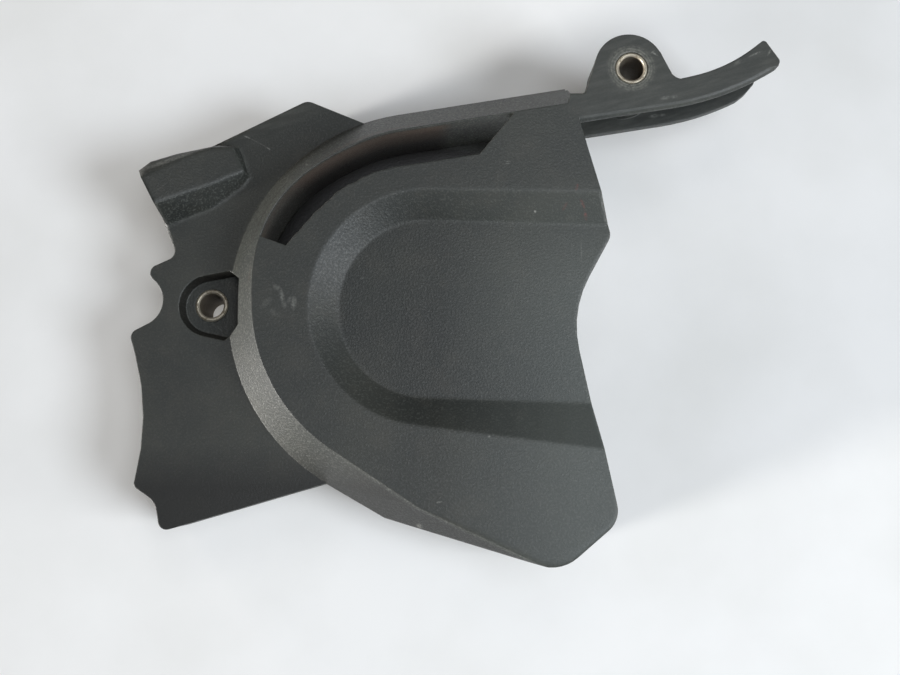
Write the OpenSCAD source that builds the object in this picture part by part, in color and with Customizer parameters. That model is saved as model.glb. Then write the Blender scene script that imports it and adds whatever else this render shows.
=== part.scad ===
// Sprocket cover of a motorcycle: one dark plastic moulding with two steel collars.
// Millimetres. The origin is on the front bolt's axis, on the boss's mounting face.
// +Z points away from the engine, +X to the rear of the machine, +Y up.

/* [Heights] */
// Height of the raised top face
top_z = 38.5; // [34:0.5:44]
// Height of the flat front flange's face
flange_z = 24; // [20:0.5:30]
// Depth of the D-shaped panel below the top face
panel_depth = 5; // [2:0.5:8]
// Height of the rear edge of the skirt
skirt_z = -2.5; // [-6:0.5:0]
// Height of the guard wall's free edge
guard_z = 12; // [4:1:20]
// Height of the chain guide's rear face
guide_z = 20; // [16:0.5:26]

/* [Walls] */
// Thickness of the plates
plate = 3; // [2:0.25:4]
// Thickness of the standing walls and ribs
wall = 2.5; // [1.5:0.25:4]

/* [Raised dome over the sprocket] */
// Sprocket axis along X
axis_x = 63.5; // [55:0.5:75]
// Sprocket axis along Y
axis_y = -0.5; // [-5:0.5:5]
// Radius of the dome's foot on the flange
foot_r = 58; // [52:0.5:64]
// Radius of the dome's top face edge
top_r = 49.1; // [44:0.1:54]
// How far the top face bulges out beside the front of the vent slot
bulge = 1.8; // [0:0.1:2.4]
// Slope of the chain's upper run
run_tilt = 9.5; // [0:0.5:20]

/* [D-shaped panel] */
// Centre of the panel's round end
panel_c = [63, -2.4];
// Radius of the panel at the top face
panel_r = 33; // [28:0.5:38]
// Radius of the panel's floor
panel_floor_r = 25.2; // [20:0.1:30]

/* [Vent slot] */
// Radius of the slot's inner edge
slot_r = 38.5; // [34:0.5:44]
// Angle of the slot's front end
slot_end = 159.7; // [140:0.1:175]

/* [Bolt points] */
// Collar bore diameter
bore_d = 7; // [6:0.1:9]
// Collar outer diameter
collar_d = 9.5; // [9:0.1:14]
// Collar length
collar_len = 21; // [15:0.5:30]
// Position of the rear bolt in the ear
ear_c = [121, 66.4];
// Outer radius of the ear
ear_r = 10; // [8:0.5:14]

/* [Chain guide] */
// Distance of the guide's lip from the sprocket axis
lip_t = 43.3; // [40:0.1:48]
// Radius of the upward bend of the lip
lip_bend = 82; // [60:1:110]
// Where the bend starts along the run
bend_s = 77; // [60:1:90]

/* [Hidden] */
$fn = 96;
axis = [axis_x, axis_y];
slope = (foot_r - top_r) / (top_z - flange_z);
wall_h = plate * sqrt(1 + pow(slope, 2));
back = 62;
foot_a = 240;
black = [0.14, 0.145, 0.14];
steel = [0.62, 0.61, 0.58];

// Outline helpers
function unit(v) = v / norm(v);
function xy(p) = [p[0], p[1]];
function turn(a) = (a + 540) % 360 - 180;

// Points of one rounded corner between its two neighbours
function corner(p0, p1, p2) =
    p1[2] == 0 ? [xy(p1)] :
    let (a = unit(xy(p0) - xy(p1)), b = unit(xy(p2) - xy(p1)),
         half = acos(a * b) / 2, d = p1[2] / tan(half),
         c = xy(p1) + unit(a + b) * p1[2] / sin(half),
         s = xy(p1) + a * d - c, e = xy(p1) + b * d - c,
         a0 = atan2(s[1], s[0]), da = turn(atan2(e[1], e[0]) - a0),
         n = max(3, ceil(abs(da) / 9)))
    [for (i = [0:n]) c + p1[2] * [cos(a0 + da * i / n), sin(a0 + da * i / n)]];

// Closed outline from corners [x, y, radius]
function rounded(p) = let (n = len(p))
    [for (i = [0:n - 1]) each corner(p[(i + n - 1) % n], p[i], p[(i + 1) % n])];

function arc(c, r, a0, a1, n = 14) =
    [for (i = [0:n]) let (a = a0 + (a1 - a0) * i / n) c + r * [cos(a), sin(a)]];

// Point given along (s) and across (t) the chain's upper run
function run(s, t) = axis + [s * cos(run_tilt) - t * sin(run_tilt),
                             s * sin(run_tilt) + t * cos(run_tilt)];
// Point on a circle about the sprocket axis
function polar(r, a) = axis + r * [cos(a), sin(a)];
function up(p, z) = [p[0], p[1], z];

flange_pts = rounded([
    [27, 61.1, 3.6], [-19.5, 37.2, 0.8], [-9.8, 14.1, 2.5], [-19.1, 9.7, 2.4],
    [-8.2, -0.9, 7.55], [-22.6, -8.5, 2.5], [-15.3, -32.4, 68.2], [-19.7, -51.7, 1.8],
    [-13.4, -56, 6], [-11.8, -64.4, 2.5], [42, -48.8, 0], [50, 51.65, 0]]);

// Rear edge with its bay, seen along the bolts
rear_pts = rounded([
    [103.6, 90, 0], [103.6, 58.7, 0], [114.9, 18.4, 4], [103, -3.3, 30],
    [114.9, -60.6, 7], [99.1, -73.9, 11], [90, -71.9, 0], [40, -57.4, 0], [-10, -70, 0],
    [-10, 90, 0]]);

// Radius of the top face's edge in the direction a
function edge_r(a) = top_r + bulge * pow(cos(min(90, abs(a - 150) * 90 / 35)), 2);
function edge_arc(in, a0, a1, n) =
    [for (i = [0:n]) let (a = a0 + (a1 - a0) * i / n) polar(edge_r(a) - in, a)];

// Outline of the dome at the height z, set in by the wall
function dome_pts(z, in = 0) = let (k = (top_z - z) / (top_z - flange_z))
    [run(back, top_r + k * (foot_r - top_r) - in),
     for (i = [0:45]) let (a = 90 + run_tilt + (foot_a - 90 - run_tilt) * i / 45)
        polar((1 - k) * edge_r(a) + k * foot_r - in, a),
     [51.8, -51.1] + k * [-0.7, -9.2] + [0.3, 1] * in,
     [60.5, -57.2] + k * [5.5, -7.5] + [0.3, 1] * in,
     [94, -72.6] + k * [0.2, -0.6] + [0.3, 1] * in, [128, -83] + [0, 1] * in];

// Solid that spans the given outlines, one above the other
module span(low, zl, high, zh) {
    pts = [for (q = low) up(q, zl), for (q = high) up(q, zh)];
    hull() polyhedron(points = pts, faces = [[for (i = [0:len(pts) - 1]) i]]);
}

module dome_outer() {
    foot = flange_z - 0.6;
    intersection() {
        union() {
            span(dome_pts(foot), foot, dome_pts(top_z), top_z);
            span(dome_pts(foot), foot - 2.4, dome_pts(foot), foot + 0.001);
        }
        translate([0, 0, flange_z - 10]) linear_extrude(30) polygon(rear_pts);
    }
}

module dome_inner() {
    zt = top_z - plate;
    zl = flange_z - 2;
    span(dome_pts(zl, wall_h), zl, dome_pts(zt, wall_h), zt);
    span(dome_pts(zl, wall_h + 0.3), zl - 3, dome_pts(zl, wall_h + 0.3), zl + 0.4);
}

// Points along a straight line from a to b, without its ends
function between(a, b, n) = [for (i = [1:n - 1]) a + (b - a) * i / n];

// D-shaped panel: a sloping rim, ruled point by point, down to a flat floor
module panel(drop = 0) {
    lift = 1;
    z0 = top_z - panel_depth - drop;
    z1 = top_z - drop + lift;
    r1 = panel_r + lift * (panel_r - panel_floor_r) / panel_depth;
    grow = r1 - panel_r;
    low_arc = arc(panel_c, panel_floor_r, 90, 268, 40);
    high_arc = arc(panel_c, r1, 90, 261.9, 40);
    low_ends = [[128, 21], [128, -29.6]];
    high_ends = [[128, 30.2 + grow], [128, -45 - grow]];
    function line(q, ends) = [ends[0], each between(ends[0], q[0], 10), each q,
                              each between(q[len(q) - 1], ends[1], 10), ends[1]];
    low = line(low_arc, low_ends);
    high = line(high_arc, high_ends);
    n = len(low);
    polyhedron(points = [for (q = low) up(q, z0), for (q = high) up(q, z1)], faces = concat(
        [[for (i = [0:n - 1]) i], [for (i = [n - 1:-1:0]) n + i]],
        [for (i = [0:n - 1]) let (k = (i + 1) % n) each [[i, n + k, k], [i, n + i, n + k]]]));
}

// Vent slot along the dome's shoulder, with its inner edge trimmed by hand
function trim_r(a) = slot_r + 0.0375 * max(0, a - 100) + 0.13 * max(0, a - 146)
                   + min(1, max(0, a - 104) / 20) * (0.16 * sin(23 * a) + 0.1 * sin(61 * a));
module slot() {
    in = 0.3;
    translate([0, 0, top_z - 9]) linear_extrude(12)
        polygon([each edge_arc(in, slot_end, 90 + run_tilt, 30), run(32.2, top_r - in),
                 run(20.6, slot_r),
                 for (i = [0:60]) let (a = 90 + run_tilt + (slot_end - 90 - run_tilt) * i / 60)
                    polar(trim_r(a), a)]);
}

// Guard wall inside, round the front of the sprocket
module guard() {
    in = 0.15;
    translate([0, 0, guard_z]) linear_extrude(top_z - 4.4 - guard_z)
        polygon([run(50, top_r - in), each edge_arc(in, 90 + run_tilt, 236, 48),
                 each edge_arc(in - wall, 236, 90 + run_tilt, 48), run(50, top_r - in + wall)]);
}

// Raised duct at the upper front corner, open at its front end
module duct(in, zb) {
    zt = 34 - in;
    fall = 6.6 / 27;
    // corners of the top face, of the leaning outer side and of the foot
    top = [[-18.6, 34.8], [-14.7, 27.4], [0.4, 34], [9.3, 38.6], [5.8, 45.7], [0.3, 45.2],
           [-8.6, 41]];
    side = [[-19.8, 37.3], [-16.8, 40.2], [-9.8, 43.1], [-3.6, 44.9]];
    foot = [[-19.2, 37.1], [-12.9, 22.5], [2, 28.6], [7.6, 33], [10.9, 37.2], [7.6, 46.8],
            [1.5, 47.7]];
    mid = [-4, 37.5];
    front = [-6, -2.6] * (in > 0 ? 1 : 0);
    function inset(q) = q + in * unit(mid - q) + (q[0] < -10 ? front : [0, 0]);
    function down(q) = fall * max(0, (q - top[0]) * [0.9, 0.42]);
    pts = [for (q = top) up(inset(q), zt - down(q)),
           for (q = side) up(inset(q), zt - 2.2 - down(q)),
           for (q = foot) up(inset(q), zb)];
    hull() polyhedron(points = pts, faces = [[for (i = [0:len(pts) - 1]) i]]);
}

// Recess round the front collar
pocket_z = collar_len - 0.5;
function pocket_pts(r) = [each arc([0.2, -0.45], r, 90, 270, 24), [5.9, -9.5], [9.3, -6.7],
                          [9.3, 6.7], [7, 8.6]];

module pocket() {
    span(pocket_pts(7.6), pocket_z, pocket_pts(14), pocket_z + 15.5);
}

module pocket_shell() {
    z = pocket_z - plate;
    shell = [each arc([0.2, -0.45], 11.2, 92, 268, 24), [7, -11.7], [12.2, -8], [12.2, 8], [8, 10.8]];
    translate([0, 0, z]) linear_extrude(flange_z - 0.4 - z) polygon(shell);
    intersection() {
        translate([0, 0, z + 1]) linear_extrude(16) polygon(shell);
        translate([axis_x, axis_y, flange_z - 4.6])
            cylinder(h = top_z - flange_z, r1 = foot_r, r2 = top_r, $fn = 180);
    }
}

// Ear and chain guide: a channel that opens down to the chain
function lip(a, off = 0) = run(bend_s + (lip_bend - off) * sin(a),
                               lip_t + lip_bend - (lip_bend - off) * cos(a));
tail_c = [127.7, 109.6];
tail_r = 46.7;
tail_arc = arc(tail_c, tail_r, -49.8, -76.5, 14);
ear_mid = [120.5, 66.5];

module ear_plate() {
    linear_extrude(plate + 0.1) {
        polygon([
            run(44, lip_t + 1.2), each [for (i = [0.5:9.5]) lip(2.28 * i, 1.2)],
            each rounded([concat(lip(23.5, 0.3), 0), [163.9, 68.9, 1.2], [159.6, 75.3, 1],
                          [158, 74, 0]]),
            each tail_arc, each arc([135.5, 66.9], 3.6, -97, -149, 6),
            [129.35, 71.4], ear_mid, [110.75, 68.5],
            [107.95, 60], [107.6, 59.1], [106.8, 58.75], [103.4, 58.7], [102.4, 55.6]]);
        translate(ear_mid) circle(r = ear_r, $fn = 120);
    }
}

// Lip with a round edge: rings along the guide's lower line
module lip_bead() {
    r = plate / 2 - 0.04;
    n = 20;
    way = [[run(45, lip_t + plate / 2), 0],
           for (i = [0:10]) [lip(22.8 * i / 10, plate / 2), 22.8 * i / 10]];
    pts = [for (w = way) for (k = [0:n - 1]) let (b = (k + 0.5) * 360 / n, d = w[1] + run_tilt)
        up(w[0] + r * cos(b) * [-sin(d), cos(d)], r * sin(b))];
    polyhedron(points = pts, faces = concat(
        [[for (k = [0:n - 1]) k], [for (k = [n - 1:-1:0]) (len(way) - 1) * n + k]],
        [for (i = [0:len(way) - 2]) for (k = [0:n - 1])
            [i * n + k, (i + 1) * n + k, (i + 1) * n + (k + 1) % n, i * n + (k + 1) % n]]));
}

// Wall under the tail's top edge, carried on from the guard wall
module web() {
    linear_extrude(top_z - plate - guide_z + 0.5)
        polygon([run(49, top_r), run(78, top_r), each arc(tail_c, tail_r + wall, -76.5, -50.2),
                 each tail_arc, run(78, top_r + wall - 0.4), run(49, top_r + wall - 0.4)]);
}

module rear_flange() {
    linear_extrude(wall)
        polygon([run(46, lip_t), each [for (i = [0:8]) lip(17.2 * i / 8)],
                 [158.2, 64.6], [160.6, 67.4], [161.6, 69.6], [160.5, 73], each tail_arc,
                 run(78, top_r + wall - 0.8), run(46, top_r + wall - 0.8)]);
}

module ear_body() {
    h = top_z - plate - guide_z + 0.5;
    translate(up(ear_mid, guide_z + 0.3)) cylinder(h = h - 0.25, r = ear_r - 0.1, $fn = 120);
    // mounting end of the bolt's boss
    translate(up(ear_c, top_z - collar_len)) cylinder(h = 6, r = 7.5);
    // side walls down to the web
    translate([0, 0, guide_z + 0.6]) linear_extrude(h - 0.5) {
        polygon([[110.9, 68.2], [108.1, 59.5], [107.5, 57], [110, 56.4], [113.3, 68.2]]);
        polygon([[129.1, 71.2], [132.2, 66], [133.8, 63.2], [131.4, 61.4], [126.7, 69.8]]);
    }
}

// Skirt, ribs and boss behind the plates
module plan() {
    polygon(flange_pts);
    intersection() {
        polygon(rear_pts);
        polygon(dome_pts(flange_z - 0.6));
    }
}

module skirt() {
    difference() {
        translate([0, 0, skirt_z]) linear_extrude(flange_z - 1.3 - skirt_z) difference() {
            offset(delta = -0.12) plan();
            offset(delta = -0.12 - wall) plan();
        }
        // open at the front edge and where the chain leaves
        translate([-30, -58, skirt_z - 1]) cube([34, 110, 40]);
        translate([-40, -80, skirt_z - 1]) cube([29.5, 100, 40]);
        translate([60, -60.5, skirt_z - 1]) cube([70, 118, 40]);
        translate([106, -90, skirt_z - 1]) cube([30, 60, 40]);
    }
}

module rib(a, b, z0, z1) {
    hull() for (q = [a, b]) translate(up(q, z0)) cylinder(h = z1 - z0, r = 1, $fn = 12);
}

module ribs() {
    z1 = flange_z - plate + 0.6;
    rib([0, 0], [-14, 10.5], 10, z1);
    rib([0, 0], [-19.5, -11], 10, z1);
    rib([0, 0], [13, -0.1], 6, z1 - 4);
    rib([0, 0], [5, 23.5], 12, z1);
    rib([5, 26], [24.5, 57], 12, z1);
    rib([0, -5], [-7.5, -59], 10, z1);
    rib([-16.5, -34], [14.5, -21.8], 12, z1);
    rib([-5.4, -45], [24.6, -34], 12, z1);
    rib([-2.5, 44], [17, 29], 14, z1 - 0.2);
    rib([30, 57], [31, 42], 14, z1 - 0.4);
    rib([17, -53.4], [23, -37], 14, z1 - 0.4);
}

module cover() {
    color(black) difference() {
        union() {
            difference() {
                union() {
                    translate([0, 0, flange_z - plate]) linear_extrude(plate) polygon(flange_pts);
                    dome_outer();
                    skirt();
                    duct(0, flange_z - 1);
                }
                difference() {
                    dome_inner();
                    panel(drop = plate);
                }
                panel();
                slot();
                duct(2.2, flange_z - plate - 0.7);
            }
            guard();
            ribs();
            cylinder(h = pocket_z - 1.3, r1 = 8, r2 = 8.4);
            pocket_shell();
            translate([0, 0, top_z - plate - 0.1]) ear_plate();
            translate([0, 0, top_z - plate / 2]) lip_bead();
            translate([0, 0, guide_z]) { web(); translate([0, 0, -0.15]) rear_flange(); }
            ear_body();
        }
        pocket();
        translate([0, 0, -1]) cylinder(h = 40, d = collar_d);
        translate(up(ear_c, 0)) cylinder(h = 60, d = collar_d);
    }
}

// Steel collars pressed into the two bolt points
module collar() {
    c = 0.4;
    color(steel) rotate_extrude() polygon([
        [bore_d / 2, 0], [collar_d / 2 - c, 0], [collar_d / 2, c],
        [collar_d / 2, collar_len - c], [collar_d / 2 - c, collar_len],
        [bore_d / 2 + c, collar_len], [bore_d / 2, collar_len - c]]);
}

module front_collar() { collar(); }
module rear_collar() { translate(up(ear_c, top_z - collar_len)) collar(); }

cover();
front_collar();
rear_collar();
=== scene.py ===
# %% [markdown]
# # Sprocket cover of a motorcycle
# The cover is a black plastic moulding, about 186 mm long, that bolts over the front sprocket.
# Its shape is already solid when this script starts: three parts, in metres, with the origin on the front
# bolt's axis. What is left is the look. The script sets the camera, gives each part the finish that its
# process and its years on the road left on it, paints some light and shade into the nylon's colour, and
# lights it on a sheet of white card.

from math import cos, pi, radians, sin

import bpy
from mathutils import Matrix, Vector


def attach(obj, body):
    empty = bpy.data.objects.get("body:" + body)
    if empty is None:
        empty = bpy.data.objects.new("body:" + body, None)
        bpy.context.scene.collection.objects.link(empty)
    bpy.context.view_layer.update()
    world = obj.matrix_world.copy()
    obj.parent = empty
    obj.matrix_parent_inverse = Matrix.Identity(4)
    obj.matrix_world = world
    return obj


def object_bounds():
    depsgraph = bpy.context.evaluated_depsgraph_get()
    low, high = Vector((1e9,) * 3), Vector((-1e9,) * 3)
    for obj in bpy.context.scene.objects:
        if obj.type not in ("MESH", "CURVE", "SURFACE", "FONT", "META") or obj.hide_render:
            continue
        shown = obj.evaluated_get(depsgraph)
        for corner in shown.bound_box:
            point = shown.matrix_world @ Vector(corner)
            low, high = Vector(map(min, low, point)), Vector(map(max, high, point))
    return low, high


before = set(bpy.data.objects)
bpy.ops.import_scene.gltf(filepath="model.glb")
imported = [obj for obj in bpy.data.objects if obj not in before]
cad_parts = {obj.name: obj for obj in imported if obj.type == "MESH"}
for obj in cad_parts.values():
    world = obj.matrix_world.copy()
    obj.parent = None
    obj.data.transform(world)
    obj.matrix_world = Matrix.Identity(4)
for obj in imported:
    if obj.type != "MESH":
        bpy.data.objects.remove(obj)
MM = 0.001
cad_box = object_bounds()
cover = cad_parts["cover"]
collars = [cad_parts["front_collar"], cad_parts["rear_collar"]]
low, high = cad_box
print("size in mm:", [round(side / MM, 1) for side in high - low])

# %% [markdown]
# ## Places on the part
# Every pattern that belongs to one spot, such as the ring that a washer wore into the ear, is placed
# from the same few points as the solid: the two bolts and the sprocket's axis.

# %% Name the places
FRONT_BOLT = Vector((0, 0, 0))
REAR_BOLT = Vector((121, 66.4, 0)) * MM
SPROCKET = Vector((63.5, -0.5, 0)) * MM
TOP_Z = high.z
CARD_Z = low.z
print("top face at", round(TOP_Z / MM, 1), "mm, card at", round(CARD_Z / MM, 1), "mm")

# %% [markdown]
# ## Camera
# The picture is taken from about a third of a metre above the part, almost straight down. A 44 mm lens
# on a 36 mm wide sensor gives that view. The part lies a little above the middle of the frame, and a
# small vertical shift does that. A tilt would do it too, but it would turn the upright walls.

# %% Set the camera
camera_data = bpy.data.cameras.new("camera")
camera_data.lens = 44
camera_data.sensor_width = 36
camera_data.shift_y = -0.0417
camera_data.clip_start = 10 * MM
camera = bpy.data.objects.new("camera", camera_data)
camera.location = Vector((63.64, -47.26, 338.45)) * MM
camera.rotation_euler = radians(8.785), radians(-1.03), 0
bpy.context.scene.collection.objects.link(camera)
bpy.context.scene.camera = camera
print("camera", round(camera.location.z / MM), "mm above the bolt's face")

# %% [markdown]
# ## Helpers for materials
# Colours are written as the hex values that a colour picker shows. Blender's shaders work with linear
# light, so one function turns the first into the second. A second function adds a node, fills in its
# settings and links it to the nodes before it. The third starts a material, and the fourth puts it on
# a part.


# %% Colour, node and material helpers
def colour(hex_value):
    """Linear colour with full alpha from an sRGB hex value such as 0x3a3c3a."""
    parts = [(hex_value >> shift & 255) / 255 for shift in (16, 8, 0)]
    return [c / 12.92 if c < 0.04045 else ((c + 0.055) / 1.055) ** 2.4 for c in parts] + [1]


def add(tree, kind, inputs=None, **settings):
    """Adds a node. Inputs are given by name or number, as a value or as the socket to link from."""
    node = tree.nodes.new(kind)
    for name, value in settings.items():
        setattr(node, name, value)
    for key, value in (inputs or {}).items():
        if isinstance(value, bpy.types.NodeSocket):
            tree.links.new(value, node.inputs[key])
        else:
            node.inputs[key].default_value = value
    return node


def new_material(name):
    """A material with its Principled shader, and the Object coordinates that its patterns read."""
    material = bpy.data.materials.new(name)
    material.use_nodes = True
    tree = material.node_tree
    tree.nodes.clear()
    shader = add(tree, "ShaderNodeBsdfPrincipled")
    add(tree, "ShaderNodeOutputMaterial", {"Surface": shader.outputs[0]})
    place = add(tree, "ShaderNodeTexCoord").outputs["Object"]
    return material, tree, shader, place


def dress(part, material):
    """Puts one material in every slot of a part."""
    for slot in part.material_slots:
        slot.material = material
    print(part.name, "is", material.name)


# %% [markdown]
# ## Nylon: tone
# The cover is glass-filled nylon, black all through. It is moulded against a spark-eroded steel mould,
# so the skin is matt and evenly grained. Years of sun and chain oil leave it uneven: some patches stay
# black, others go to a greyish olive. Two cloudy patterns of different size mix these tones. A photo
# could give the same look, but a pattern has no end and needs no file.

# %% Start the nylon and give it its tones
nylon, tree, shader, place = new_material("moulded_black_nylon")
shader.inputs["IOR"].default_value = 1.5
CLOUD = 26 * MM
clouds = add(tree, "ShaderNodeTexNoise", {"Vector": place, "Scale": 1 / CLOUD, "Detail": 4})
cloudy = add(tree, "ShaderNodeMapRange", {0: clouds.outputs[0], 1: 0.35, 2: 0.65})
black, faded = colour(0x272a28), colour(0x30322e)
base = add(tree, "ShaderNodeMix", {0: cloudy.outputs[0], 6: black, 7: faded}, data_type="RGBA")
PATCH = 7 * MM
patches = add(tree, "ShaderNodeTexNoise", {"Vector": place, "Scale": 1 / PATCH, "Detail": 6,
                                           "Roughness": 0.65})
dusty = add(tree, "ShaderNodeMapRange", {0: patches.outputs[0], 1: 0.5, 2: 0.75, 3: 0, 4: 0.22})
dust_tone = colour(0x4a4740)
base = add(tree, "ShaderNodeMix", {0: dusty.outputs[0], 6: base.outputs[2], 7: dust_tone}, data_type="RGBA")

# %% [markdown]
# ## Nylon: flat places to draw from
# Marks and rings lie on the faces as seen along the bolts, so they are drawn in x and y only. One node
# drops the height, and the distance from each bolt and from the sprocket's axis is measured once.

# %% Measure distances in the plan
x, y, z = add(tree, "ShaderNodeSeparateXYZ", {0: place}).outputs
plan = add(tree, "ShaderNodeCombineXYZ", {"X": x, "Y": y}).outputs[0]
from_front, from_rear, from_axle = [
    add(tree, "ShaderNodeVectorMath", {0: plan, 1: axis}, operation="DISTANCE").outputs["Value"]
    for axis in (FRONT_BOLT, REAR_BOLT, SPROCKET)]

# %% [markdown]
# ## Nylon: painted sheen on the rear
# The rear of the top face is painted a paler grey. This is painted sheen, the glance of the light from the
# right on the top face. It grows along x and goes out towards the shoulder.

# %% Paint the sheen on the rear of the top
FADE_FROM, FADE_TO = 66 * MM, 104 * MM
to_rear = add(tree, "ShaderNodeMapRange", {0: x, 1: FADE_FROM, 2: FADE_TO, 3: 0, 4: 0.34}).outputs[0]
low_down = add(tree, "ShaderNodeMapRange", {0: y, 1: 34 * MM, 2: 4 * MM, 3: 0.2, 4: 1}).outputs[0]
on_top = add(tree, "ShaderNodeMapRange", {0: z, 1: TOP_Z - 12 * MM, 2: TOP_Z - 10 * MM}).outputs[0]
painted_sheen = add(tree, "ShaderNodeMath", {0: to_rear, 1: low_down}, operation="MULTIPLY").outputs[0]
painted_sheen = add(tree, "ShaderNodeMath", {0: painted_sheen, 1: on_top}, operation="MULTIPLY").outputs[0]
# Painted sheen: the rear of the top is lifted to a paler grey.
base = add(tree, "ShaderNodeMix", {0: painted_sheen, 6: base.outputs[2], 7: colour(0x656c69)}, data_type="RGBA")

# %% [markdown]
# ## Nylon: the rubbed ear and guide
# The ear and the chain guide came out of a smoother part of the mould, and hands and the chain have
# rubbed them since. There the grain almost goes, and the tone is lighter with streaks along the guide.
# One mask finds the place: far enough from the axis, and above the bolt line.

# %% Find the guide and lighten it
past_dome = add(tree, "ShaderNodeMapRange", {0: from_axle, 1: 66 * MM, 2: 71 * MM}).outputs[0]
above = add(tree, "ShaderNodeMapRange", {0: y, 1: 44 * MM, 2: 52 * MM}).outputs[0]
guide = add(tree, "ShaderNodeMath", {0: past_dome, 1: above}, operation="MULTIPLY").outputs[0]
STREAK = 9 * MM, 1.6 * MM, 1.6 * MM  # length and widths of one streak
GUIDE_TURN = 0, 0, radians(17)
along = add(tree, "ShaderNodeMapping", {"Vector": place, "Rotation": GUIDE_TURN, "Scale": STREAK},
            vector_type="TEXTURE")
streaks = add(tree, "ShaderNodeTexNoise", {"Vector": along.outputs[0], "Scale": 1, "Detail": 4,
                                           "Roughness": 0.6})
streaky = add(tree, "ShaderNodeMapRange", {0: streaks.outputs[0], 1: 0.42, 2: 0.72, 3: 0.02, 4: 0.5})
rubbed = add(tree, "ShaderNodeMath", {0: guide, 1: streaky.outputs[0]}, operation="MULTIPLY").outputs[0]
base = add(tree, "ShaderNodeMix", {0: rubbed, 6: base.outputs[2], 7: colour(0x4d4f4b)}, data_type="RGBA")

# %% [markdown]
# ## Nylon: the washer's ring
# A washer sat on the ear and ground the nylon pale round the hole, in fine circles with broken edges. The
# circles are a sine wave of the distance from the bolt, and a crumbly pattern breaks them up.

# %% Draw the washer's ring
CRUMB, CIRCLE = 1.1 * MM, 0.8 * MM
WASHER_EDGE, WORN_TO = 7.4 * MM, 5.2 * MM  # radius where the wear starts, and where it is full
crumbs = add(tree, "ShaderNodeTexNoise", {"Vector": place, "Scale": 1 / CRUMB, "Detail": 5, "Roughness": 0.7})
crumbly = add(tree, "ShaderNodeMapRange", {0: crumbs.outputs[0], 1: 0.36, 2: 0.6}).outputs[0]
inner = add(tree, "ShaderNodeMapRange", {0: from_rear, 1: WASHER_EDGE, 2: WORN_TO}).outputs[0]
turns = add(tree, "ShaderNodeMath", {0: from_rear, 1: 2 * pi / CIRCLE}, operation="MULTIPLY").outputs[0]
wave = add(tree, "ShaderNodeMath", {0: turns}, operation="SINE").outputs[0]
circles = add(tree, "ShaderNodeMapRange", {0: wave, 1: -1, 2: 1, 3: 0.45, 4: 1}).outputs[0]
ring = add(tree, "ShaderNodeMath", {0: inner, 1: crumbly}, operation="MULTIPLY").outputs[0]
ring = add(tree, "ShaderNodeMath", {0: ring, 1: circles}, operation="MULTIPLY").outputs[0]
base = add(tree, "ShaderNodeMix", {0: ring, 6: base.outputs[2], 7: colour(0x77776f)}, data_type="RGBA")

# %% [markdown]
# ## Nylon: painted shade in the recess
# In the recess of the front bolt the wall is painted near-black: painted shade, where little light gets down
# into the recess. The mask takes what is near the bolt, above the recess's floor and below the flange.

# %% Paint shade on the recess's wall
RECESS_FLOOR, FLANGE_Z = 20.5 * MM, 24 * MM
CORNER = 0.4 * MM  # height over which the painted shade starts
close = add(tree, "ShaderNodeMapRange", {0: from_front, 1: 12.5 * MM, 2: 12 * MM}).outputs[0]
up_wall = add(tree, "ShaderNodeMapRange", {0: z, 1: RECESS_FLOOR, 2: RECESS_FLOOR + CORNER, 3: 0, 4: 0.8})
under_rim = add(tree, "ShaderNodeMapRange", {0: z, 1: FLANGE_Z - 0.1 * MM, 2: FLANGE_Z - 0.5 * MM})
recess_shade = close
for factor in (up_wall, under_rim):
    recess_shade = add(tree, "ShaderNodeMath", {0: recess_shade, 1: factor.outputs[0]}, operation="MULTIPLY").outputs[0]
# Painted shade: the recess's wall is mixed towards near-black.
base = add(tree, "ShaderNodeMix", {0: recess_shade, 6: base.outputs[2], 7: colour(0x191714)}, data_type="RGBA")

# %% [markdown]
# ## Nylon: dust and painted shade inside the vent slot
# Through the slot the eye meets the inner wall, brown with dried chain dust near the top. Lower down it is
# painted black: painted shade, deeper in the slot where little light reaches. It shows only below the top
# plate, outside the sprocket's radius and behind a slanting line that keeps it out of the panel.

# %% Draw the dust and the painted shade inside
below = add(tree, "ShaderNodeMapRange", {0: z, 1: TOP_Z - 0.8 * MM, 2: TOP_Z - 2.4 * MM}).outputs[0]
outside = add(tree, "ShaderNodeMapRange", {0: from_axle, 1: 36 * MM, 2: 37.5 * MM}).outputs[0]
lean = add(tree, "ShaderNodeMath", {0: x, 1: -0.5, 2: y}, operation="MULTIPLY_ADD").outputs[0]
behind = add(tree, "ShaderNodeMapRange", {0: lean, 1: -2.5 * MM, 2: -1.5 * MM}).outputs[0]
near = add(tree, "ShaderNodeMapRange", {0: from_axle, 1: 51 * MM, 2: 50 * MM}).outputs[0]
slot_dust_and_shade = below
for part_of_mask in (outside, behind, near):
    slot_dust_and_shade = add(tree, "ShaderNodeMath", {0: slot_dust_and_shade, 1: part_of_mask}, operation="MULTIPLY").outputs[0]
# Painted shade: the wall goes from the dust's brown to black with depth.
deep_shade = add(tree, "ShaderNodeMapRange", {0: z, 1: TOP_Z - 4 * MM, 2: TOP_Z - 16 * MM}).outputs[0]
inside = add(tree, "ShaderNodeMix", {0: deep_shade, 6: colour(0x473b32), 7: colour(0x0e0c0b)}, data_type="RGBA")
base = add(tree, "ShaderNodeMix", {0: slot_dust_and_shade, 6: base.outputs[2], 7: inside.outputs[2]}, data_type="RGBA")

# %% [markdown]
# ## Nylon: painted shade on the lower slope
# The slope is painted darker from the middle of the dome to its lowest edge. This darkening is painted shade
# on that side of the dome.

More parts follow.
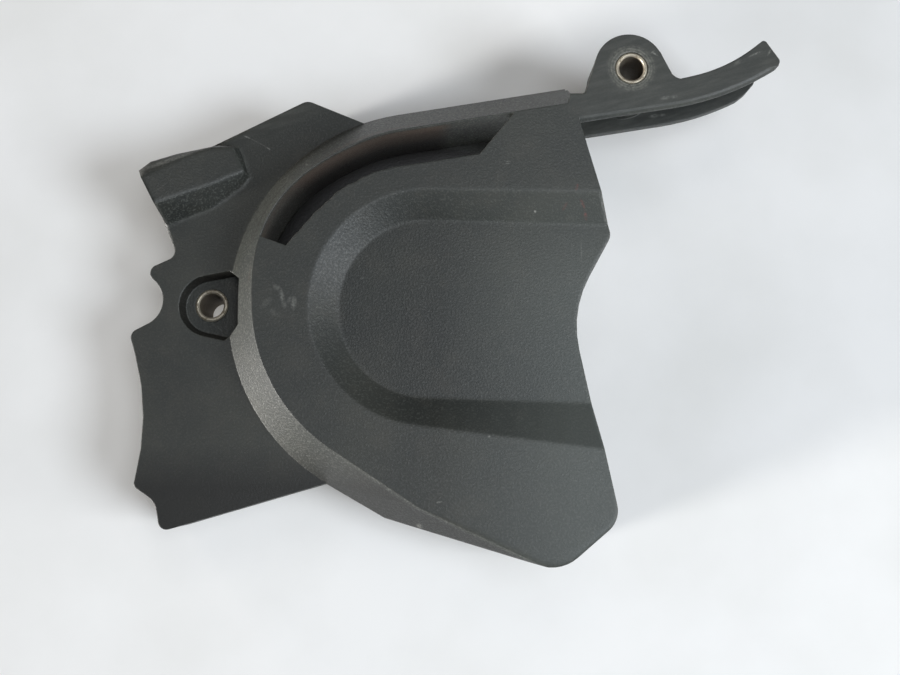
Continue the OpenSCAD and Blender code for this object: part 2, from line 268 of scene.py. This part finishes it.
# %% Paint shade on the lower slope
down = add(tree, "ShaderNodeMapRange", {0: y, 1: -40 * MM, 2: -52 * MM, 3: 0, 4: 0.85}).outputs[0]
off_top = add(tree, "ShaderNodeMapRange", {0: z, 1: TOP_Z - 0.1 * MM, 2: TOP_Z - 2 * MM}).outputs[0]
lower_slope_shade = add(tree, "ShaderNodeMath", {0: down, 1: off_top}, operation="MULTIPLY").outputs[0]
# Painted shade: the lower slope is mixed towards near-black.
base = add(tree, "ShaderNodeMix", {0: lower_slope_shade, 6: base.outputs[2], 7: colour(0x0c0d0c)}, data_type="RGBA")

# %% [markdown]
# ## Nylon: scratches, scuffs, specks and a painted highlight
# Each mark is a long thin oval. A Mapping node moves and turns the plan so that the oval becomes a
# circle of radius 1, and the mark fades from its middle to that circle. A crumbly pattern breaks it
# up, as dry plastic tears. The lists give the middle, the half length, the half width, the angle and
# the strength, in millimetres and degrees.

# %% Draw the marks
PALE_MARKS = (
    (9.6, 49.7, 1.5, 0.3, -24, 0.5), (12.6, 48.2, 5.2, 0.16, -28, 0.24), (15.7, 46.4, 1.3, 0.24, -34, 0.42),
    (21.4, 2.4, 1.8, 0.9, -35, 0.2), (22.7, 0.2, 2.6, 0.8, -78, 0.26), (23.4, -2.2, 1.6, 0.8, -60, 0.18),
    (26, -1.7, 2.4, 1, 88, 0.3), (24.8, -1, 1.4, 0.6, 70, 0.16), (18.4, -1.7, 2.6, 1.2, 40, 0.1),
    (20.6, -4.5, 2.4, 1, -30, 0.09), (28.3, 38.8, 0.9, 0.35, -40, 0.6), (93.2, 25, 0.45, 0.4, 0, 0.9),
    (85.4, 38.6, 0.9, 0.25, 0, 0.3), (85.2, 38, 0.8, 0.2, 0, 0.25), (79.7, -38.3, 0.5, 0.4, 20, 0.45),
    (106.3, 14, 4.5, 0.2, 90, 0.2), (112.6, 27, 3.2, 0.25, -67, 0.5), (127.8, 70.7, 1.3, 0.35, -30, 0.5),
    (127.2, 71.3, 0.9, 0.3, 40, 0.4), (130.4, 57.6, 1.8, 0.7, 10, 0.3), (133, 57.9, 1.2, 0.6, 10, 0.25),
    (161, 71.6, 1.6, 0.35, 60, 0.45), (156.8, 70.9, 2.6, 0.35, 24, 0.4), (151.5, 68.2, 1.7, 0.7, 40, 0.2),
    (66.1, -55.8, 1, 0.35, 10, 0.35), (51.3, -61.6, 2.4, 0.6, 20, 0.3), (60.8, -62.6, 1.2, 0.8, -40, 0.3),
    (44.4, 6.1, 0.9, 0.6, 0, 0.12), (84, -20, 3, 0.2, 75, 0.1), (112, 27, 2.6, 0.3, -72, 0.3),
    # This last pale mark is a painted highlight: the light strip along the raised duct's upper-left edge.
    (-11.6, 40.6, 9.5, 1, 24, 0.45),
)
RED_MARKS = (
    (104.7, 31.3, 1.3, 0.45, 75, 0.75), (106.5, 27, 1.7, 0.5, -60, 0.5), (107.5, 24, 1.6, 0.55, -75, 0.6),
    (101.5, 26.3, 1.5, 0.6, 60, 0.25),
)
FLECK = 0.7 * MM
flecks = add(tree, "ShaderNodeTexNoise", {"Vector": place, "Scale": 1 / FLECK, "Detail": 3})
broken = add(tree, "ShaderNodeMapRange", {0: flecks.outputs[0], 1: 0.34, 2: 0.6, 3: 0.15, 4: 1}).outputs[0]
for marks, tint in ((PALE_MARKS, 0x9a9b95), (RED_MARKS, 0x6e3f3a)):
    seen = 0.0
    for mark_x, mark_y, length, width, angle, strength in marks:
        oval = add(tree, "ShaderNodeMapping", {"Vector": plan, "Rotation": (0, 0, radians(angle))},
                   vector_type="TEXTURE")
        oval.inputs["Location"].default_value = mark_x * MM, mark_y * MM, 0
        oval.inputs["Scale"].default_value = length * MM, width * MM, 1
        off_centre = add(tree, "ShaderNodeVectorMath", {0: oval.outputs[0]}, operation="LENGTH")
        fade = add(tree, "ShaderNodeMapRange",
                   {0: off_centre.outputs["Value"], 1: 1, 2: 0.3, 3: 0, 4: strength}).outputs[0]
        seen = add(tree, "ShaderNodeMath", {0: fade, 1: seen}, operation="MAXIMUM").outputs[0]
    torn = add(tree, "ShaderNodeMath", {0: seen, 1: broken}, operation="MULTIPLY").outputs[0]
    base = add(tree, "ShaderNodeMix", {0: torn, 6: base.outputs[2], 7: colour(tint)}, data_type="RGBA")
print(len(PALE_MARKS) + len(RED_MARKS), "marks drawn")

# %% [markdown]
# ## Nylon: how soft each edge is
# No moulded edge is sharp. Most are rounded by half a millimetre. The raised duct, the rim of the sunk
# panel and the lower tip are blended more softly, so the radius grows round them, by the distance from
# each. The panel is a half circle that runs on as a strip, so its distance counts x only to the left of
# the circle's centre.

# %% Measure the distances and set the radius
EDGE = 0.5 * MM
DUCT = Vector((-4, 36, 0)) * MM
PANEL = Vector((63, -4, 0)) * MM
TIP = Vector((92, -76, 0)) * MM
from_duct, from_tip = [
    add(tree, "ShaderNodeVectorMath", {0: plan, 1: spot}, operation="DISTANCE").outputs["Value"]
    for spot in (DUCT, TIP)]
to_left = add(tree, "ShaderNodeVectorMath", {0: plan, 1: PANEL}, operation="SUBTRACT").outputs[0]
end_only = add(tree, "ShaderNodeVectorMath", {0: to_left, 1: (0, 1, 1)}, operation="MINIMUM").outputs[0]
from_panel = add(tree, "ShaderNodeVectorMath", {0: end_only}, operation="LENGTH").outputs["Value"]
SOFT_EDGES = (  # distance, where it is full and where it ends, and the radius, in mm
    (from_duct, 17, 22, 1.8),
    (from_panel, 38, 42, 1.6),
    (from_tip, 20, 34, 3),
)
reach = EDGE
for away, full, end, radius in SOFT_EDGES:
    softer = add(tree, "ShaderNodeMapRange", {0: away, 1: full * MM, 2: end * MM, 3: radius * MM, 4: EDGE})
    reach = add(tree, "ShaderNodeMath", {0: reach, 1: softer.outputs[0]}, operation="MAXIMUM").outputs[0]

# %% [markdown]
# ## Nylon: rounded edges, wear and painted highlight
# The Bevel node bends the shading over the last part of each edge, so that edges catch the light without more
# faces. Where its normal differs from the face's own, there is an edge, and there the grain is painted a
# paler grey in places. On outer edges that is wear; in inner corners, such as the duct's foot, it is a
# painted highlight.

# %% Round the edges, and paint their wear and highlight
soft = add(tree, "ShaderNodeBevel", {"Radius": reach}, samples=8)
own = add(tree, "ShaderNodeNewGeometry").outputs["Normal"]
same = add(tree, "ShaderNodeVectorMath", {0: soft.outputs[0], 1: own}, operation="DOT_PRODUCT")
at_edge = add(tree, "ShaderNodeMapRange",
              {0: same.outputs["Value"], 1: 0.985, 2: 0.9, 3: 0, 4: 0.5}).outputs[0]
edge_wear_and_highlight = add(tree, "ShaderNodeMath", {0: at_edge, 1: crumbly}, operation="MULTIPLY").outputs[0]
base = add(tree, "ShaderNodeMix", {0: edge_wear_and_highlight, 6: base.outputs[2], 7: colour(0x60615c)}, data_type="RGBA")

# %% [markdown]
# ## Nylon: grain and painted glints
# The mould's spark-eroded skin leaves a grain of about 0.1 mm. That is finer than a pixel here, so it is
# drawn at 0.6 mm, where it shows as the sparkle on the slopes. The same pattern changes the gloss: the tops
# of the grain are smoother than the pits. It also paints the grain tops paler, most on the steeper faces and
# not where shade or slot dust is painted. That paler tone is a painted glint, standing in for lit grain. On
# the guide the relief is weaker.

# %% Add the grain
GRAIN, RELIEF = 0.6 * MM, 0.12 * MM
grain = add(tree, "ShaderNodeTexNoise", {"Vector": place, "Scale": 1 / GRAIN, "Detail": 3, "Roughness": 0.6})
depth = add(tree, "ShaderNodeMapRange", {0: guide, 3: 1, 4: 0.3}).outputs[0]
bump = add(tree, "ShaderNodeBump", {"Height": grain.outputs[0], "Strength": depth, "Distance": RELIEF,
                                    "Normal": soft.outputs[0]})
gloss = add(tree, "ShaderNodeMapRange", {0: grain.outputs[0], 1: 0.3, 2: 0.7, 3: 0.58, 4: 0.42})

# %% Paint glints on the grain tops and finish the nylon
facing = add(tree, "ShaderNodeSeparateXYZ", {0: own}).outputs["Z"]
steep = add(tree, "ShaderNodeMapRange", {0: facing, 1: 0.95, 2: 0.55, 3: 0.1, 4: 0.5}).outputs[0]
grain_glint = add(tree, "ShaderNodeMapRange", {0: grain.outputs[0], 1: 0.5, 2: 0.68}).outputs[0]
shade_and_slot_dust = recess_shade
for dirt_and_shade in (lower_slope_shade, slot_dust_and_shade):
    shade_and_slot_dust = add(tree, "ShaderNodeMath", {0: shade_and_slot_dust, 1: dirt_and_shade}, operation="MAXIMUM").outputs[0]
clear_of_shade_and_dust = add(tree, "ShaderNodeMath", {0: 1, 1: shade_and_slot_dust}, operation="SUBTRACT").outputs[0]
for share in (steep, depth, clear_of_shade_and_dust):
    grain_glint = add(tree, "ShaderNodeMath", {0: grain_glint, 1: share}, operation="MULTIPLY").outputs[0]
# Painted glint: pale grain tops, mostly on the steeper faces.
base = add(tree, "ShaderNodeMix", {0: grain_glint, 6: base.outputs[2], 7: colour(0x70726d)}, data_type="RGBA")
tree.links.new(gloss.outputs[0], shader.inputs["Roughness"])
tree.links.new(bump.outputs[0], shader.inputs["Normal"])
tree.links.new(base.outputs[2], shader.inputs["Base Color"])
dress(cover, nylon)

# %% [markdown]
# ## Dark ledge behind the vent slot
# Looking down into the slot, the eye meets black plastic and not the lit ground. A narrow ledge on the lower
# edge of the guard wall gives that: a dark piece put in for the shade under the slot, painted black by the
# slot's painted shade. It runs straight under the shoulder and then follows the sprocket. A plane stands
# upright as its cross-section. Extruding it makes the straight part, and the spin operator sweeps the end on
# round the axis. A curve with a bevel object would do as well, but a spin keeps the exact centre.

# %% Extrude and spin the ledge
TILT = radians(9.5)  # the shoulder rises to the right by this angle
RUN = Vector((cos(TILT), sin(TILT), 0))
ACROSS = Vector((-sin(TILT), cos(TILT), 0))
INNER_R, OUTER_R = 43.5 * MM, 50.6 * MM
LOWER_Z, UPPER_Z = 11 * MM, 13.2 * MM
STRAIGHT, SWEEP = 36 * MM, radians(69.5)
bpy.ops.object.select_all(action="DESELECT")
middle = SPROCKET + RUN * STRAIGHT + ACROSS * (INNER_R + OUTER_R) / 2
middle.z = (LOWER_Z + UPPER_Z) / 2
bpy.ops.mesh.primitive_plane_add(size=1, location=middle, rotation=(pi / 2, 0, pi / 2 + TILT))
shade_ledge = bpy.context.object
shade_ledge.name = "slot_shade_ledge"
shade_ledge.scale = OUTER_R - INNER_R, UPPER_Z - LOWER_Z, 1
bpy.ops.object.transform_apply(location=True, rotation=True, scale=True)
bpy.ops.object.mode_set(mode="EDIT")
bpy.ops.mesh.select_all(action="SELECT")
bpy.ops.mesh.extrude_region_move(TRANSFORM_OT_translate={"value": -RUN * STRAIGHT})
bpy.ops.mesh.spin(steps=32, angle=-SWEEP, center=SPROCKET, axis=(0, 0, 1))  # it turns clockwise
bpy.ops.mesh.select_all(action="SELECT")
bpy.ops.mesh.normals_make_consistent(inside=False)
bpy.ops.object.mode_set(mode="OBJECT")
for axis in (0, 1):
    values = [v.co[axis] / MM for v in shade_ledge.data.vertices]
    print("ledge spans", "xy"[axis], round(min(values), 1), "to", round(max(values), 1))

# %% Round its edges and seat it
rounding = shade_ledge.modifiers.new("rounding", "BEVEL")
rounding.width = 0.3 * MM
rounding.segments = 2
rounding.limit_method = "ANGLE"
bpy.ops.object.modifier_apply(modifier="rounding")
bpy.ops.object.shade_smooth_by_angle(angle=radians(30))
shade_ledge.data.materials.append(nylon)
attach(shade_ledge, "root")

# %% [markdown]
# ## End of the shoulder
# Where the dome's slope ends at the ear, a small web closes the corner. It is a patch of the slope,
# pulled inwards to a thickness: a plane is laid on the slope by its own directions and extruded.

# %% Close the shoulder's end
DROP, RUN_OUT = 14.5, 8.9  # the slope's height and reach, in mm
SLOPE_TOP = 49.1  # where the slope starts, across the run
WEB_S, WEB_T = 49.9, 54.2  # the web's middle, along and across the run
WEB_LONG, WEB_WIDE, WEB_THICK = 2.2, 6.4, 2
SUNK = 0.05  # the web lies this far under the slope
slope_down = (ACROSS * RUN_OUT - Vector((0, 0, DROP))).normalized()
outward = RUN.cross(slope_down).normalized()
outward = outward if outward.z > 0 else -outward
bpy.ops.object.select_all(action="DESELECT")
bpy.ops.mesh.primitive_plane_add(size=1)
web = bpy.context.object
web.name = "shoulder_end"
for corner in web.data.vertices:
    s = WEB_S + WEB_LONG * corner.co.x
    t = WEB_T + WEB_WIDE * corner.co.y
    corner.co = SPROCKET + (RUN * s + ACROSS * t) * MM
    corner.co.z = TOP_Z - ((t - SLOPE_TOP) * DROP / RUN_OUT + SUNK) * MM
bpy.ops.object.mode_set(mode="EDIT")
bpy.ops.mesh.select_all(action="SELECT")
bpy.ops.mesh.extrude_region_move(TRANSFORM_OT_translate={"value": -outward * WEB_THICK * MM})
bpy.ops.mesh.select_all(action="SELECT")
bpy.ops.mesh.normals_make_consistent(inside=False)
bpy.ops.mesh.bevel(offset=0.2 * MM, segments=2)
bpy.ops.object.mode_set(mode="OBJECT")
web.data.materials.append(nylon)
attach(web, "root")
print("web of", len(web.data.polygons), "faces")

# %% [markdown]
# ## Steel collars
# The collars are turned from mild steel and zinc-plated. The plating has gone dull and warm, and rust
# and oily dirt sit in the bore. Metal shows mostly what it mirrors, so its tone is set by the roughness
# and by the dirt, which isn't metallic. Turning leaves fine rings, drawn as a wave of the height plus the
# distance from the nearer bolt's axis.

# %% Draw the steel
zinc, tree, shader, place = new_material("worn_zinc_plated_steel")
x, y, z = add(tree, "ShaderNodeSeparateXYZ", {0: place}).outputs
plan = add(tree, "ShaderNodeCombineXYZ", {"X": x, "Y": y}).outputs[0]
ways = [add(tree, "ShaderNodeVectorMath", {0: plan, 1: bolt}, operation="DISTANCE").outputs["Value"]
        for bolt in (FRONT_BOLT, REAR_BOLT)]
radius = add(tree, "ShaderNodeMath", {0: ways[0], 1: ways[1]}, operation="MINIMUM").outputs[0]
STAIN, TURNING = 1.6 * MM, 0.5 * MM  # size of a stain, and pitch of the turned rings
CLEAN_FROM, DIRTY_TO = 3.62 * MM, 3.48 * MM  # just outside and just inside the bore's radius
stain = add(tree, "ShaderNodeTexNoise", {"Vector": place, "Scale": 1 / STAIN, "Detail": 6, "Roughness": 0.7})
spots = add(tree, "ShaderNodeMapRange", {0: stain.outputs[0], 1: 0.52, 2: 0.72}).outputs[0]
in_bore = add(tree, "ShaderNodeMapRange", {0: radius, 1: CLEAN_FROM, 2: DIRTY_TO, 3: 0, 4: 0.8})
dirt_and_shade = add(tree, "ShaderNodeMath", {0: in_bore.outputs[0], 1: spots}, operation="MAXIMUM").outputs[0]
plating = add(tree, "ShaderNodeMix", {0: spots, 6: colour(0xb4ad9d), 7: colour(0x92886f)}, data_type="RGBA")
finish = add(tree, "ShaderNodeMix", {0: dirt_and_shade, 6: plating.outputs[2], 7: colour(0x4a3a2a)}, data_type="RGBA")
clean = add(tree, "ShaderNodeMapRange", {0: dirt_and_shade, 3: 0.7, 4: 0}).outputs[0]
dull = add(tree, "ShaderNodeMapRange", {0: dirt_and_shade, 3: 0.44, 4: 0.7}).outputs[0]
height = add(tree, "ShaderNodeMath", {0: z, 1: radius}, operation="ADD").outputs[0]
turned = add(tree, "ShaderNodeMath", {0: height, 1: 2 * pi / TURNING}, operation="MULTIPLY").outputs[0]
rings = add(tree, "ShaderNodeMath", {0: turned}, operation="SINE").outputs[0]
edge = add(tree, "ShaderNodeBevel", {"Radius": 0.25 * MM}, samples=6).outputs[0]
bump = add(tree, "ShaderNodeBump", {"Height": rings, "Strength": 0.4, "Distance": 0.02 * MM, "Normal": edge})
for value, socket in ((finish.outputs[2], "Base Color"), (clean, "Metallic"), (dull, "Roughness"),
                      (bump.outputs[0], "Normal")):
    tree.links.new(value, shader.inputs[socket])
for collar in collars:
    dress(collar, zinc)

# %% [markdown]
# ## White card
# The part lies on a sheet of white card. It is only the stage: a plane that is much larger than the
# view, at the height of the skirt's lowest edge. Faint grey clouds keep it from looking like plaster.

# %% Lay the card
bpy.ops.mesh.primitive_plane_add(size=6, location=(SPROCKET.x, SPROCKET.y, CARD_Z))
card = bpy.context.object
card.name = "card"
card_finish, tree, shader, place = new_material("white_card")
HAZE = 60 * MM
haze = add(tree, "ShaderNodeTexNoise", {"Vector": place, "Scale": 1 / HAZE, "Detail": 5})
hazy = add(tree, "ShaderNodeMapRange", {0: haze.outputs[0], 1: 0.4, 2: 0.7}).outputs[0]
white = add(tree, "ShaderNodeMix", {0: hazy, 6: colour(0xeeeeed), 7: colour(0xe6e6e4)}, data_type="RGBA")
tree.links.new(white.outputs[2], shader.inputs["Base Color"])
shader.inputs["Roughness"].default_value = 0.85
shader.inputs["Specular IOR Level"].default_value = 0.3
card.data.materials.append(card_finish)

# %% [markdown]
# ## Light
# Black plastic has almost no colour of its own, so what the eye sees is mostly sheen, and each face
# shows the light that it faces. One big soft lamp stands for the window, high on the right. Low lamps
# round the part give each slope its own tone: the strongest lies low on the left and lights the long
# slope of the dome. Each lamp is placed by its compass angle from +X and its height above the card.

# %% Set the lamps
LAMPS = (  # name, angle, height angle, distance and width in metres, watts, tint
    ("doorway", 201, 6, 2.4, 0.45, 108, 0xfffcf8),
    ("right_wall", 352, 13, 1.3, 0.5, 5.6, 0xfffdf8),
    ("window", 338, 46, 1.4, 0.6, 12.6, 0xf0f7ff),
    ("sky", 355, 78, 1.3, 0.6, 4.7, 0xf6faff),
    ("left_wall", 135, 14, 1.3, 0.5, 1.9, 0xfff2e4),
    ("back_wall", 85, 60, 1.3, 0.5, 0.9, 0xfff8f0),
)
for name, angle, height_angle, distance, width, watts, tint in LAMPS:
    lamp = bpy.data.lights.new(name, "AREA")
    lamp.shape = "DISK"
    lamp.size = width
    lamp.energy = watts
    lamp.color = colour(tint)[:3]
    turn, rise = radians(angle), radians(height_angle)
    way = Vector((cos(turn) * cos(rise), sin(turn) * cos(rise), sin(rise)))
    holder = bpy.data.objects.new(name, lamp)
    holder.location = SPROCKET + way * distance
    holder.rotation_euler = way.to_track_quat("Z", "Y").to_euler()
    bpy.context.scene.collection.objects.link(holder)
world = bpy.data.worlds.new("room_light")
world.use_nodes = True
world.node_tree.nodes["Background"].inputs[0].default_value = (1, 1, 1, 1)
world.node_tree.nodes["Background"].inputs[1].default_value = 0.04
bpy.context.scene.world = world
bpy.context.scene.view_settings.view_transform = "Standard"
print(len(LAMPS), "lamps,", round(sum(lamp[5] for lamp in LAMPS), 1), "W")
